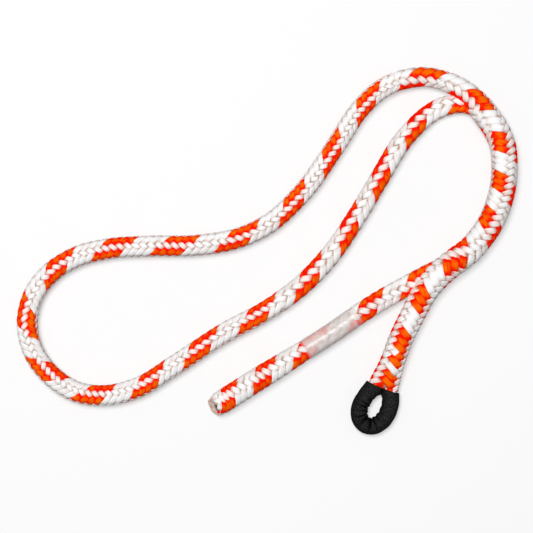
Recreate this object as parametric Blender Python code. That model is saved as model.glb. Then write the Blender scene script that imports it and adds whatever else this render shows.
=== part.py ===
"""Adjustable rope sling of hollow braid, lying flat on a level surface.

One rope makes the whole sling. Its working end is turned back into its own hollow
body, which forms a loop whose size changes as the tail is pulled through. The other
end has a small fixed eye, protected by a gathered fabric sleeve.
All lengths below are in millimetres and are turned into metres when a mesh is made.
"""
import math

import bmesh
import bpy
from mathutils import Vector

MM = 0.001

# Gaps between pieces, and the steps and sides of their round bodies
GAP = 0.3
SECTION_GAP = 0.5
PAST_THE_END = 2.0
SIDES = 16
SWEEP_STEP = 6.0
SHORT_STEP = 4.0
CORD_STEP = 20.0
CORD_END_RUN = 1.5
CORD_SIDES = 10

# Rope
ROPE_RADIUS = 8.0
LOOP_HEIGHT = ROPE_RADIUS * math.cos(math.pi / CORD_SIDES)
BURIED_RADIUS = 6.7

# Cut end of the tail, where the hollow braid has loosened and swollen
TAIL_SWELL = 1.3
TAIL_SWELL_LENGTH = 40.0
TAIL_TIP_TAPER = 0.5
TAIL_END_RADIUS = ROPE_RADIUS + TAIL_SWELL
TAIL_TIP_RADIUS = TAIL_END_RADIUS - TAIL_TIP_TAPER
TAIL_BORE_RADIUS = 6.2
TAIL_BORE_DEPTH = 12.0

# Hollow body that holds the buried rope
BODY_RADIUS = 9.7
EXIT_RADIUS = 10.6
BURY_RADIUS = 10.0
LEG_RADIUS = LOOP_HEIGHT
BORE_CLEARANCE = 0.3
EXIT_COLLAR_WALL = 1.0
ENTRY_COLLAR_WALL = 1.2

# Channel inside the body, which the tapered end of the fixed eye fills at its start
CHANNEL_RADIUS = 6.4
CHANNEL_TIP_RADIUS = 3.0
CHANNEL_START = 14.0
CHANNEL_END = 104.0
CHANNEL_TAPER = 30.0
EYE_TAIL_END = 48.0
EYE_TAIL_TIP = 3.5

# Fixed eye
EYE_ROPE_RADIUS = 5.5
EYE_BORE_RADIUS = 5.9
EYE_SLEEVE_RADIUS = 6.55
PLEAT_HEIGHT = 0.5
PLEAT_LENGTH = 6.2
PLEAT_STEPS = 6
PLEAT_OUTER_SHARE = 0.35
PLEAT_FADE = 5.0
STUB_IN_SLEEVE = 3.5
LEG_NECK = 1.0
LEG_SHOULDER = 6.0
LEG_SHOULDER_RADIUS = 7.2
LEG_FULL = 20.0

# Clear shrink sleeve on the tail
SHRINK_SQUEEZE = 0.6
SHRINK_WALL = 0.6
SHRUNK_ROPE_RADIUS = ROPE_RADIUS - SHRINK_SQUEEZE
SHRINK_INNER_RADIUS = SHRUNK_ROPE_RADIUS + GAP
SHRINK_OUTER_RADIUS = SHRINK_INNER_RADIUS + SHRINK_WALL
SHRINK_LENGTH = 44.0
SHRINK_MIDDLE = (49.0, -66.1)
SHRINK_BLEND = 3.0
SHRINK_FLARE = 0.7

# Slide of the tail, measured along its straight stretch from the exit mouth
SLIDE_IN = 13.0
STUB_DEPTH = 21.0
STRAIGHT_TAIL = 53.0
EXIT_COLLAR = (6.5, 30.0)
TAIL_CUT_START = -40.0

# The routes were laid out about another middle, so this brings the whole to the origin.
LAYOUT_SHIFT = Vector((0.8, -0.4, 0.06))

# The rope's route as (x, y) places on its middle line, from the throat of the fixed eye
# through the hollow body, round the loop and back into the body.
HOST_ROUTE = [
    (95.5, -98.5), (100, -86), (104.2, -74.2), (109, -63), (114.3, -52.4), (119.5, -41.7), (125.4, -31.3),
    (132.9, -21.8), (142, -13.2), (150.8, -6.8), (160.3, 0.6), (168.5, 10), (175.3, 19.4), (180.8, 30),
    (184.8, 41.4), (187.5, 53), (188.5, 70), (187.2, 84), (181, 99), (174.2, 108.7), (166.8, 118.6),
    (158, 127.2), (148.4, 133.4),
]
LOOP_ROUTE = [
    (137.5, 137.6), (125.6, 139.7), (113.7, 138.8), (91, 130.5), (74, 115), (54, 85), (26, 46), (-1, 21.5),
    (-22, 11.5), (-58, 5), (-94, 4.4), (-129, 2), (-153, -4), (-173, -16), (-188, -35), (-193, -58),
    (-187.5, -81), (-173, -100), (-153, -112.5), (-129, -115), (-106, -109.5), (-75, -91), (-35, -65),
    (-3, -48), (26, -27.5), (51, -1), (71, 28.5), (89.5, 59.5), (108.5, 90), (116.5, 99), (125, 107),
    (132, 112), (140.4, 116), (148.5, 117.6),
]
BURY_ROUTE = [
    (157.5, 116.8), (166, 112.8), (173.5, 105.5), (180, 95.6), (185.5, 84), (188.3, 70), (187.5, 53),
    (180.8, 30), (168.5, 10), (162, 2.4),
]
EYE_ROUTE = [
    (85, -106.5), (78, -115.5), (73.2, -124.4), (73, -132.4), (76.6, -138), (82.4, -139.8),
    (90, -136.4), (95.6, -128.6), (97.7, -121), (97.7, -112),
]
EXIT_MOUTH = (131.7, -15.7)
SLIDE_DIRECTION = Vector((0.873, 0.488, 0.0))
MOUTH_HEIGHT = 9.5
TAIL_SLOPE = 0.008
FREE_TAIL = [(77, -47), (50, -65.6), (18, -85.8), (-14, -105.6), (-44, -124.7)]
FREE_TAIL_HEIGHTS = [9.1, 9.1, 9.1, TAIL_END_RADIUS, TAIL_END_RADIUS]

# Distances along the hollow body and along the loop where their sections meet
EXIT_START = 52.0
BURY_START = 131.0
ENTRY_START = 208.0
ENTRY_COLLAR = (18.0, 50.0)
LOOP_JOINTS = {
    "loop_standing_leg": (0.0, 190.0),
    "loop_top_reach": (190.0, 345.0),
    "loop_far_bend": (345.0, 530.0),
    "loop_return_reach": (530.0, 700.0),
}
# Heights of the last places of the loop, where it climbs into the body
RISE_TO_ENTRY = [LOOP_HEIGHT, 8.6, 9.3]
CURVE_STEPS = 24

# Radii by distance: of the body from the throat of the eye, of the running rope from the
# place where it climbs into the body, and of the legs from their ends inside the sleeve
HOST_PROFILE = [
    (0.0, BODY_RADIUS - 0.5), (12.0, BODY_RADIUS), (EXIT_START, BODY_RADIUS),
    (EXIT_START + 30.0, EXIT_RADIUS), (EXIT_START + 60.0, EXIT_RADIUS), (BURY_START, BURY_RADIUS),
    (ENTRY_START + 30.0, BURY_RADIUS), (ENTRY_START + 52.0, LEG_RADIUS + 1.1), (ENTRY_START + 75.0, LEG_RADIUS),
]
CORE_PROFILE = [(0.0, ROPE_RADIUS), (20.0, ROPE_RADIUS), (48.0, BURIED_RADIUS), (250.0, BURIED_RADIUS)]
LEG_PROFILE = [
    (0.0, EYE_ROPE_RADIUS), (STUB_IN_SLEEVE + LEG_NECK, EYE_ROPE_RADIUS),
    (STUB_IN_SLEEVE + LEG_SHOULDER, LEG_SHOULDER_RADIUS), (STUB_IN_SLEEVE + LEG_FULL, ROPE_RADIUS),
]
LEFT_THROAT = [(89.5, -101), (96, -91)]
RIGHT_THROAT = [(97.6, -104), (98.6, -92)]
THROAT_HEIGHTS = [8.4, BODY_RADIUS]


def layout(points, height):
    """Route points in the sling's own frame, at one height or at one height each."""
    heights = height if isinstance(height, list) else [height] * len(points)
    return [Vector((x, y, z)) + LAYOUT_SHIFT for (x, y), z in zip(points, heights)]


def smooth_curve(points):
    """A smooth curve through the points, with a fixed number of steps between them."""
    ends = [2 * points[0] - points[1]] + points + [2 * points[-1] - points[-2]]
    fine = []
    for a, b, c, d in zip(ends, ends[1:], ends[2:], ends[3:]):
        before = max((b - a).length, 1.0)
        across = max((c - b).length, 1.0)
        after = max((d - c).length, 1.0)
        leave = ((b - a) / before * across + (c - b) / across * before) / (before + across)
        arrive = ((c - b) / across * after + (d - c) / after * across) / (across + after)
        for k in range(CURVE_STEPS):
            t = k / CURVE_STEPS
            fine.append(
                b * (2 * t ** 3 - 3 * t ** 2 + 1)
                + c * (3 * t ** 2 - 2 * t ** 3)
                + leave * across * (t ** 3 - 2 * t ** 2 + t)
                + arrive * across * (t ** 3 - t ** 2)
            )
    fine.append(points[-1].copy())
    return fine


def line_length(points):
    """The length of a line of points."""
    return sum((b - a).length for a, b in zip(points, points[1:]))


def stretch(points, start, end, step=SWEEP_STEP):
    """The part of a line between two distances from its start, with its points evenly spaced."""
    reach = [0.0]
    for a, b in zip(points, points[1:]):
        reach.append(reach[-1] + (b - a).length)
    count = max(2, round((end - start) / step))
    result = []
    index = 0
    for k in range(count + 1):
        target = start + (end - start) * k / count
        while index < len(points) - 2 and reach[index + 1] < target:
            index += 1
        part = (target - reach[index]) / (reach[index + 1] - reach[index])
        result.append(points[index].lerp(points[index + 1], part))
    return result


def even_points(points, step):
    """The same line with its points moved to equal distances of about one step."""
    return stretch(points, 0.0, line_length(points), step)


def shifted(profile, start):
    """A radius profile as it is measured from a later start."""
    return [(distance - start, radius) for distance, radius in profile]


def radii_along(points, profile):
    """One radius for each point, from (distance, radius) pairs with straight lines between."""
    radii = []
    distance = 0.0
    for k, point in enumerate(points):
        if k:
            distance += (point - points[k - 1]).length
        radii.append(profile[-1][1])
        for (s0, r0), (s1, r1) in zip(profile, profile[1:]):
            if distance <= s1:
                radii[-1] = r0 + (r1 - r0) * max(0.0, distance - s0) / (s1 - s0)
                break
    return radii


def directions(points):
    """The direction of the line at each of its points, true to its bend at both ends."""
    result = [after - before for before, after in zip(points, points[2:])]
    first = points[1] - points[0]
    last = points[-1] - points[-2]
    result.insert(0, first * 2 - result[0] / 2 if len(points) > 2 else first)
    result.append(last * 2 - result[-1] / 2 if len(points) > 2 else last)
    return [way.normalized() for way in result]


def material(name, colour, roughness, alpha=1.0):
    """A plain Principled material in one colour."""
    result = bpy.data.materials.new(name)
    result.use_nodes = True
    shader = result.node_tree.nodes["Principled BSDF"]
    shader.inputs["Base Color"].default_value = (*colour, 1.0)
    shader.inputs["Roughness"].default_value = roughness
    shader.inputs["Metallic"].default_value = 0.0
    shader.inputs["Alpha"].default_value = alpha
    return result


def add_object(name, data, parent=None):
    """Link an object; with a parent, its points are given in the parent's own frame."""
    result = bpy.data.objects.new(name, data)
    bpy.context.scene.collection.objects.link(result)
    result.parent = parent
    return result


def sweep(name, points, radii, parent=None, ripple=None):
    """A closed round body along a line, with one corner of each ring straight down.

    ripple(distance, side) adds to the radius at one corner, where side runs from -1 at
    the left of the line to 1 at its right.
    """
    mesh = bmesh.new()
    rings = []
    distance = 0.0
    offset = parent.location / MM if parent else Vector()
    for k, (point, way, radius) in enumerate(zip(points, directions(points), radii)):
        if k:
            distance += (point - points[k - 1]).length
        side = way.cross(Vector((0, 0, 1))).normalized()
        up = side.cross(way).normalized()
        ring = []
        for n in range(SIDES):
            turn = 2 * math.pi * n / SIDES
            reach = radius + (ripple(distance, math.sin(turn)) if ripple else 0.0)
            corner = point + side * (math.sin(turn) * reach) - up * (math.cos(turn) * reach)
            ring.append(mesh.verts.new((corner - offset) * MM))
        rings.append(ring)
    for near, far in zip(rings, rings[1:]):
        bmesh.ops.bridge_loops(mesh, edges=ring_edges(mesh, near) + ring_edges(mesh, far))
    mesh.faces.new(rings[0])
    mesh.faces.new(rings[-1])
    bmesh.ops.recalc_face_normals(mesh, faces=mesh.faces)
    data = bpy.data.meshes.new(name)
    mesh.to_mesh(data)
    mesh.free()
    data.shade_smooth()
    data.set_sharp_from_angle(angle=math.radians(40))
    return add_object(name, data, parent)


def ring_edges(mesh, ring):
    """The edges round one ring of corners, made where they are missing."""
    edges = []
    for a, b in zip(ring, ring[1:] + ring[:1]):
        edges.append(mesh.edges.get((a, b)) or mesh.edges.new((a, b)))
    return edges


def combine(target, tool, operation):
    """Join a second body to the first, or cut it out, and keep it as a guide."""
    tool.hide_render = True
    tool.display_type = "WIRE"
    step = target.modifiers.new(operation.title(), "BOOLEAN")
    step.operation = operation
    step.solver = "EXACT"
    step.object = tool


def free_rope(name, points, radius):
    """A free stretch of rope: a round tube on a straight-segment curve."""
    curve = bpy.data.curves.new(name, "CURVE")
    curve.dimensions = "3D"
    curve.bevel_depth = radius * MM
    curve.bevel_resolution = CORD_SIDES // 2 - 2
    curve.render_resolution_u = 0
    curve.use_fill_caps = True
    spline = curve.splines.new("POLY")
    spline.points.add(len(points) - 1)
    for place, point in zip(spline.points, points):
        place.co = (*(point * MM), 1.0)
    spline.use_smooth = True
    return add_object(name, curve)


def rope_lines():
    """The middle lines of the hollow body, of the loop and of the rope buried in the body.

    They are parts of one smooth curve, so that they meet with the same direction.
    Everything rests on the surface, so a thicker stretch has its middle higher.
    """
    flat = layout(HOST_ROUTE + LOOP_ROUTE[:1], 0.0)
    heights = radii_along(flat, HOST_PROFILE)[:-1]
    heights += [LOOP_HEIGHT] * (len(LOOP_ROUTE) - len(RISE_TO_ENTRY)) + RISE_TO_ENTRY
    heights += [BURY_RADIUS] * len(BURY_ROUTE)
    curve = smooth_curve(layout(HOST_ROUTE + LOOP_ROUTE + BURY_ROUTE, heights))
    loop_start = CURVE_STEPS * len(HOST_ROUTE)
    loop_end = loop_start + CURVE_STEPS * (len(LOOP_ROUTE) - 1)
    return curve[:loop_start + 1], curve[loop_start:loop_end + 1], curve[loop_end - 2 * CURVE_STEPS:]


def make_loop(loop_line, rope):
    """The adjustable loop, in five free stretches of single rope."""
    joints = dict(LOOP_JOINTS)
    joints["loop_running_leg"] = (LOOP_JOINTS["loop_return_reach"][1], line_length(loop_line))
    for name, (start, end) in joints.items():
        ends = stretch(loop_line, start + GAP / 2, end - GAP / 2, end - start)
        middle = stretch(loop_line, start + CORD_END_RUN, end - CORD_END_RUN, CORD_STEP)
        part = free_rope(name, [ends[0]] + middle + [ends[-1]], ROPE_RADIUS)
        part.data.materials.append(rope)


def host_section(name, host_line, start, end, rope):
    """One section of the hollow body, still solid."""
    points = stretch(host_line, start, end)
    section = sweep(name, points, radii_along(points, shifted(HOST_PROFILE, start)))
    section.data.materials.append(rope)
    return section


def beyond(line):
    """A place a little past the end of a line, so that a cutter runs through the end."""
    return line[-1] + (line[-1] - line[-2]).normalized() * PAST_THE_END


def slide_point(distance):
    """A place on the line that the tail slides along, measured from the exit mouth."""
    mouth = Vector((*EXIT_MOUTH, MOUTH_HEIGHT)) + LAYOUT_SHIFT
    return mouth + SLIDE_DIRECTION * distance + Vector((0, 0, TAIL_SLOPE * distance))


def make_body(host_line, core_line, rope):
    """The sections of the hollow body, with the channel and the two mouths cut in."""
    total = line_length(host_line)
    half_gap = SECTION_GAP / 2
    body = host_section("body_braid", host_line, 0.0, EXIT_START - half_gap, rope)
    exit_part = host_section("splice_exit", host_line, EXIT_START + half_gap, BURY_START - half_gap, rope)
    bury = host_section("splice_bury", host_line, BURY_START + half_gap, ENTRY_START - half_gap, rope)
    entry = host_section("splice_entry", host_line, ENTRY_START + half_gap, total - half_gap, rope)

    for leg in eye_legs():
        combine(body, leg, "UNION")
    channel = stretch(host_line, CHANNEL_START, CHANNEL_END)
    channel_radii = radii_along(channel, [(0.0, CHANNEL_TIP_RADIUS), (CHANNEL_TAPER, CHANNEL_RADIUS)])
    channel_cut = sweep("channel_cut", channel, channel_radii)
    combine(body, channel_cut, "DIFFERENCE")

    tail_cut_radius = ROPE_RADIUS + BORE_CLEARANCE
    collar_points = even_points([slide_point(distance) for distance in EXIT_COLLAR], SHORT_STEP)
    collar = sweep("exit_collar", collar_points, [tail_cut_radius + EXIT_COLLAR_WALL] * len(collar_points))
    tail_cut_end = STUB_DEPTH + SLIDE_IN + GAP
    tail_points = even_points([slide_point(TAIL_CUT_START), slide_point(tail_cut_end)], SWEEP_STEP)
    tail_cut = sweep("tail_cut", tail_points, [tail_cut_radius] * len(tail_points))
    bore_points = even_points(core_line, SWEEP_STEP)
    bore_radii = [radius + BORE_CLEARANCE for radius in radii_along(bore_points, CORE_PROFILE)]
    bore = sweep("rope_bore", bore_points, bore_radii)
    combine(exit_part, collar, "UNION")
    for cut in (channel_cut, tail_cut, bore):
        combine(exit_part, cut, "DIFFERENCE")
    combine(bury, bore, "DIFFERENCE")

    collar_points = stretch(core_line, *ENTRY_COLLAR)
    collar_radii = radii_along(collar_points, shifted(CORE_PROFILE, ENTRY_COLLAR[0]))
    entry_collar = sweep("entry_collar", collar_points, [radius + ENTRY_COLLAR_WALL for radius in collar_radii])
    combine(entry, entry_collar, "UNION")
    combine(entry, bore, "DIFFERENCE")


def make_buried_rope(loop_line, core_line, rope):
    """The running rope inside the body, from the entry mouth to the tail's inner end."""
    outside = line_length(loop_line[-2 * CURVE_STEPS - 1:])
    start = outside + 2 * GAP
    points = stretch(core_line, start, line_length(core_line) - PAST_THE_END)
    core = sweep("buried_running_rope", points, radii_along(points, shifted(CORE_PROFILE, start)))
    core.data.materials.append(rope)


def eye_line():
    """The middle of the rope in the fixed eye."""
    return smooth_curve(layout(EYE_ROUTE, EYE_SLEEVE_RADIUS + PLEAT_HEIGHT / 2))


def eye_legs():
    """The two legs that leave the sleeve and merge into the throat of the body."""
    line = eye_line()
    total = line_length(line)
    left_inside = stretch(line, 0.0, STUB_IN_SLEEVE)[::-1]
    right_inside = stretch(line, total - STUB_IN_SLEEVE, total)
    legs = []
    for name, inside, throat in (
        ("left_leg", left_inside, LEFT_THROAT),
        ("right_leg", right_inside, RIGHT_THROAT),
    ):
        points = even_points(smooth_curve(inside + layout(throat, THROAT_HEIGHTS)), SHORT_STEP / 2)
        legs.append(sweep(name, points, radii_along(points, LEG_PROFILE)))
    return legs


def make_eye(host_line, rope, fabric):
    """The fixed eye: its rope, the gathered sleeve over it and the tail buried in the body."""
    line = eye_line()
    total = line_length(line)
    inside = stretch(line, STUB_IN_SLEEVE + GAP, total - STUB_IN_SLEEVE - GAP, SHORT_STEP)
    eye_rope = sweep("eye_rope", inside, [EYE_ROPE_RADIUS] * len(inside))
    eye_rope.data.materials.append(rope)

    def pleats(distance, side):
        """Folds that are deepest on the inner side of the bend and die away at the ends."""
        weight = PLEAT_OUTER_SHARE + (1 - PLEAT_OUTER_SHARE) * max(0.0, -side)
        fade = min(1.0, distance / PLEAT_FADE, (total - distance) / PLEAT_FADE)
        return PLEAT_HEIGHT * weight * fade * math.sin(2 * math.pi * distance / PLEAT_LENGTH)

    skin = stretch(line, 0.0, total, PLEAT_LENGTH / PLEAT_STEPS)
    sleeve = sweep("eye_sleeve", skin, [EYE_SLEEVE_RADIUS] * len(skin), ripple=pleats)
    sleeve.data.materials.append(fabric)
    bore_points = [beyond(line[::-1])] + even_points(line, SHORT_STEP) + [beyond(line)]
    bore = sweep("eye_bore", bore_points, [EYE_BORE_RADIUS] * len(bore_points))
    combine(sleeve, bore, "DIFFERENCE")

    full = CHANNEL_RADIUS - 2 * BORE_CLEARANCE
    tail_start = CHANNEL_START + PAST_THE_END
    tail_profile = [(0.0, CHANNEL_TIP_RADIUS), (CHANNEL_TAPER, full), (EYE_TAIL_END - tail_start, EYE_TAIL_TIP)]
    tail_points = stretch(host_line, tail_start, EYE_TAIL_END, SHORT_STEP)
    tail_radii = radii_along(tail_points, tail_profile)
    buried_tail = sweep("eye_buried_tail", tail_points, tail_radii)
    buried_tail.data.materials.append(rope)


def tail_line():
    """The running tail from its hidden inner end to its free end."""
    straight = [slide_point(STUB_DEPTH), slide_point(-STUB_DEPTH), slide_point(-STRAIGHT_TAIL)]
    return smooth_curve(straight + layout(FREE_TAIL, FREE_TAIL_HEIGHTS))


def make_tail(rope, film):
    """The free tail with its open end, and the clear sleeve shrunk on to it."""
    slide = bpy.data.objects.new("tail_slide", None)
    slide.location = slide_point(0.0) * MM
    bpy.context.scene.collection.objects.link(slide)

    line = tail_line()
    total = line_length(line)
    middle = layout([SHRINK_MIDDLE], FREE_TAIL_HEIGHTS[1])[0]
    nearest = min(range(len(line)), key=lambda k: (line[k] - middle).length)
    sleeve_start = line_length(line[:nearest + 1]) - SHRINK_LENGTH / 2
    sleeve_end = sleeve_start + SHRINK_LENGTH
    profile = [
        (0.0, ROPE_RADIUS - TAIL_TIP_TAPER), (SHORT_STEP, ROPE_RADIUS), (sleeve_start - GAP, ROPE_RADIUS),
        (sleeve_start + SHRINK_BLEND, SHRUNK_ROPE_RADIUS), (sleeve_end - SHRINK_BLEND, SHRUNK_ROPE_RADIUS),
        (sleeve_end + GAP, ROPE_RADIUS), (sleeve_end + TAIL_SWELL_LENGTH, TAIL_END_RADIUS),
        (total - SHORT_STEP, TAIL_END_RADIUS), (total, TAIL_TIP_RADIUS),
    ]
    points = even_points(line, SWEEP_STEP)
    tail = sweep("running_tail", points, radii_along(points, profile), parent=slide)
    tail.data.materials.append(rope)
    end_points = stretch(line, total - TAIL_BORE_DEPTH, total, SHORT_STEP) + [beyond(line)]
    end_bore = sweep("tail_end_bore", end_points, [TAIL_BORE_RADIUS] * len(end_points), parent=slide)
    combine(tail, end_bore, "DIFFERENCE")

    cover_points = stretch(line, sleeve_start, sleeve_end, SHORT_STEP)
    narrowed = SHRINK_BLEND + PAST_THE_END
    flare = [
        (0.0, SHRINK_FLARE), (narrowed, 0.0), (SHRINK_LENGTH - narrowed, 0.0), (SHRINK_LENGTH, SHRINK_FLARE),
    ]
    swell = radii_along(cover_points, flare)
    cover = sweep("tail_shrink_sleeve", cover_points, [SHRINK_OUTER_RADIUS + s for s in swell], parent=slide)
    cover.data.materials.append(film)
    bore_points = stretch(line, sleeve_start - PAST_THE_END, sleeve_end + PAST_THE_END, SHORT_STEP)
    bore_swell = radii_along(bore_points, shifted(flare, -PAST_THE_END))
    cover_bore = sweep("cover_bore", bore_points, [SHRINK_INNER_RADIUS + s for s in bore_swell], parent=slide)
    combine(cover, cover_bore, "DIFFERENCE")


def main():
    """Clear the scene and build the sling."""
    for thing in list(bpy.data.objects):
        bpy.data.objects.remove(thing)
    rope = material("braided rope", (0.86, 0.28, 0.10), 0.75)
    fabric = material("eye fabric", (0.02, 0.02, 0.02), 0.85)
    film = material("shrink film", (0.92, 0.80, 0.74), 0.25, alpha=0.45)
    host_line, loop_line, core_line = rope_lines()
    make_loop(loop_line, rope)
    make_body(host_line, core_line, rope)
    make_buried_rope(loop_line, core_line, rope)
    make_eye(host_line, rope, fabric)
    make_tail(rope, film)


main()
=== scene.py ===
import math

import bpy
import numpy as np
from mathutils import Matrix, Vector


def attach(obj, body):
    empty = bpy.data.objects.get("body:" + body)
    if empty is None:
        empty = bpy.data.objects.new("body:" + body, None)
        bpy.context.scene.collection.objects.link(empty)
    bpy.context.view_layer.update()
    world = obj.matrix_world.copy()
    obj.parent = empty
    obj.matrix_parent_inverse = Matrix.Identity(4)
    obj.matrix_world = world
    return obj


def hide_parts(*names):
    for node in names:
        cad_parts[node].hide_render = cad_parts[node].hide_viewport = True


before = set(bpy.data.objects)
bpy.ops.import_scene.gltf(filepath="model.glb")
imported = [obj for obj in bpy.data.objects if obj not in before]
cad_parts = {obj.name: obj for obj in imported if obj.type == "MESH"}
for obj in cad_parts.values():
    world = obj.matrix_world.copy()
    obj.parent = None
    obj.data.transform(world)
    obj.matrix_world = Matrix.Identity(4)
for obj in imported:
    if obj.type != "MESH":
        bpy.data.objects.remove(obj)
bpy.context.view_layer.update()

MM = 0.001

# Layout of the rope, repeated from the part's source: (x, y) places in millimetres
LAYOUT_SHIFT = np.array([0.8, -0.4, 0.06])
HOST_ROUTE = [
    (95.5, -98.5), (100, -86), (104.2, -74.2), (109, -63), (114.3, -52.4), (119.5, -41.7), (125.4, -31.3),
    (132.9, -21.8), (142, -13.2), (150.8, -6.8), (160.3, 0.6), (168.5, 10), (175.3, 19.4), (180.8, 30),
    (184.8, 41.4), (187.5, 53), (188.5, 70), (187.2, 84), (181, 99), (174.2, 108.7), (166.8, 118.6),
    (158, 127.2), (148.4, 133.4),
]
LOOP_ROUTE = [
    (137.5, 137.6), (125.6, 139.7), (113.7, 138.8), (91, 130.5), (74, 115), (54, 85), (26, 46), (-1, 21.5),
    (-22, 11.5), (-58, 5), (-94, 4.4), (-129, 2), (-153, -4), (-173, -16), (-188, -35), (-193, -58),
    (-187.5, -81), (-173, -100), (-153, -112.5), (-129, -115), (-106, -109.5), (-75, -91), (-35, -65),
    (-3, -48), (26, -27.5), (51, -1), (71, 28.5), (89.5, 59.5), (108.5, 90), (116.5, 99), (125, 107),
    (132, 112), (140.4, 116), (148.5, 117.6),
]
BURY_ROUTE = [
    (157.5, 116.8), (166, 112.8), (173.5, 105.5), (180, 95.6), (185.5, 84), (188.3, 70), (187.5, 53),
    (180.8, 30), (168.5, 10), (162, 2.4),
]
EYE_ROUTE = [
    (85, -106.5), (78, -115.5), (73.2, -124.4), (73, -132.4), (76.6, -138), (82.4, -139.8),
    (90, -136.4), (95.6, -128.6), (97.7, -121), (97.7, -112),
]
EXIT_MOUTH = (131.7, -15.7)
SLIDE_DIRECTION = np.array([0.873, 0.488, 0.008])
STUB_DEPTH = 21.0
STRAIGHT_TAIL = 53.0
FREE_TAIL = [(77, -47), (50, -65.6), (18, -85.8), (-14, -105.6), (-44, -124.7)]

# Heights of the rope's middle; those of the body are given at some points of its route, by number
HOST_HEIGHTS = [(0, 9.2), (4, 9.7), (8, 10.6), (10, 10.4), (13, 10), (18, 10), (23, 8)]
LOOP_HEIGHT = 8.0
RISE_TO_ENTRY = [LOOP_HEIGHT, 8.6, 9.3]
BURY_HEIGHT = 10.0
EYE_HEIGHT = 6.9
MOUTH_HEIGHT = 9.5
FREE_TAIL_HEIGHTS = [9.1, 9.1, 9.1, 9.3, 9.3]

# Smooth curves
CURVE_STEPS = 24
SHORTEST_SPAN = 1.0
FINE_STEP = 0.5
LOOP_PATH_POINTS = 240
TAIL_PATH_POINTS = 60

# The rope and its strands; lay 1 holds the orange ones, and lay -1 goes round the other way
ROPE_RADIUS = 8.0
STRANDS = 6
FINE_STRANDS = 8
FINE_WEAVE = (324.3, 960.8)
STRAND_HALF_THICKNESS = 1.2
STRAND_SPREAD = {1: 0.64, -1: 0.50}
# Each strand curves across as if the rope were this much thicker
STRAND_FLATTER = 2.0
RING_STEP = 0.8
FLAT_UNDERSIDE = 1.6
# Outline of one flattened strand of two yarns: share of its half width, share of its half thickness
SECTION = np.array([
    (1.0, 0.05), (0.92, 0.58), (0.68, 0.90), (0.34, 1.0), (0.07, 0.88), (-0.07, 0.88), (-0.34, 1.0),
    (-0.68, 0.90), (-0.92, 0.58), (-1.0, 0.05), (-0.75, -0.7), (0.0, -0.95), (0.75, -0.7),
])

# How the strands rise and dive, and where the floats and the orange stripe lie round the rope
WEAVE_DEPTH = 0.85
DIVE = 3.0
LONG_FLOATS = 0.36
FLOAT_TURN = math.radians(75)
STRIPE_TURN = math.radians(60)
PATCH_PHASE = -0.105
# Two parts of a braid overlap by this much each way, and their ends dive inside each other
WEAVE_LAP = 1.6
LAP_DIVE = 1.6

# Least values of the crown map, which sets the painted shade: in the gaps, at a strand's edge and under the
# rope
GAP_LEVEL = 0.25
EDGE_LEVEL = 0.45
UNDER_LEVEL = 0.45
# Painted shade towards the rope's sides: share of the full crown there, and how fast it rises from there to
# the top
SIDE_SHARE = 0.1
UPWARD_RISE = 1.2
# The maps of neighbouring strands start this far apart
STRAND_MAP_GAP = 37.0

# Outer radius of the rope by distance from the throat, and then from the end of the loop
ROPE_RADII = [
    (0, 9.8), (12, 10.1), (52, 10.1), (82, 11.0), (112, 11.1), (131, 10.6), (225, 10.7), (245, 10.6),
    (262, 9.2), (283, 8.1), (470, 8.1), (520, 8.6), (810, 8.6), (850, 8.4), (1010, 8.4), (1060, 8.05),
]
ENTRY_RADII = [(-5, 8.05), (14, 6.2)]
# The same for the tail, from its inner end and then from its cut end
TAIL_RADII = [
    (0, 5.6), (8, 6.4), (24, 8.1), (60, 8.5), (90, 8.5), (96, 7.7), (139, 7.7), (145, 8.5), (180, 9.6),
]
CUT_RADII = [(-7, 9.7), (-3, 9.3), (0, 8.0)]

# How often the strands have gone round the rope, and round the tail, by that distance
ROPE_TURNS = [
    (-34, -8.2), (-4.6, -7.333), (30.2, -6.333), (66.2, -5.333), (105.8, -4.333), (117.8, -4), (141, -3.333),
    (153.4, -3), (184.2, -2), (216.6, -1), (252.2, 0), (300.2, 1), (348.4, 2), (396.4, 3), (446, 4), (498, 5),
    (550, 6), (599.6, 7), (647.2, 8), (696.4, 9), (744.4, 10), (788.4, 11), (833.2, 12), (881.2, 13),
    (934.8, 14), (986.8, 15), (1038, 16), (1087.6, 17), (1136.8, 18), (1250, 20.3),
]
TAIL_TURNS = [
    (-10, -1), (30.4, 0), (46, 0.333), (75, 1), (85, 1.25), (131, 2), (148, 2.35), (174.8, 3), (185.6, 3.333),
    (208.8, 4), (218.4, 4.333), (240, 5),
]
# How far the columns of the weave are turned round the rope, and round the tail, in degrees
ROPE_ROLL = [
    (-4.6, 99), (30, 97), (66, 110), (102, 111), (114, 74), (127, 28), (153, 28), (178, 19), (210, 9),
    (252, -45), (303, -45), (330, -58), (345, -63), (408, -64), (488, -72), (608, -80), (672, -76),
    (690, -78), (705, -92), (720, -74), (743, -62), (800, -61), (888, -64), (1008, -58), (1120, -56),
]
TAIL_ROLL = [(30, -62), (75, -75), (148, -88), (186, -90), (218, -95)]

# The body spreads at the throat, where its strands run into the two legs of the eye
THROAT_START = -14.5
THROAT_CUT = -12.0
THROAT_END = 14.0
THROAT_WIDER = 0.35
THROAT_LOWER = 0.40
THROAT_DROP = 2.4
# There they dive under the fabric sleeve, deepest in the cleft between the legs
TUCK_START = -7.5
TUCK_LENGTH = 5.0
TUCK_DEPTH = 2.0
CLEFT_DEPTH = 7.0
CLEFT_WIDTH = 4.0
TUCK_FLOOR = 1.5
TUCK_FADE = 8.0
# Two strands of the eye's own tail cross the body up to here
CROSSING_STRANDS = (3, 4)
CROSSING_END = 18.0

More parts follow.
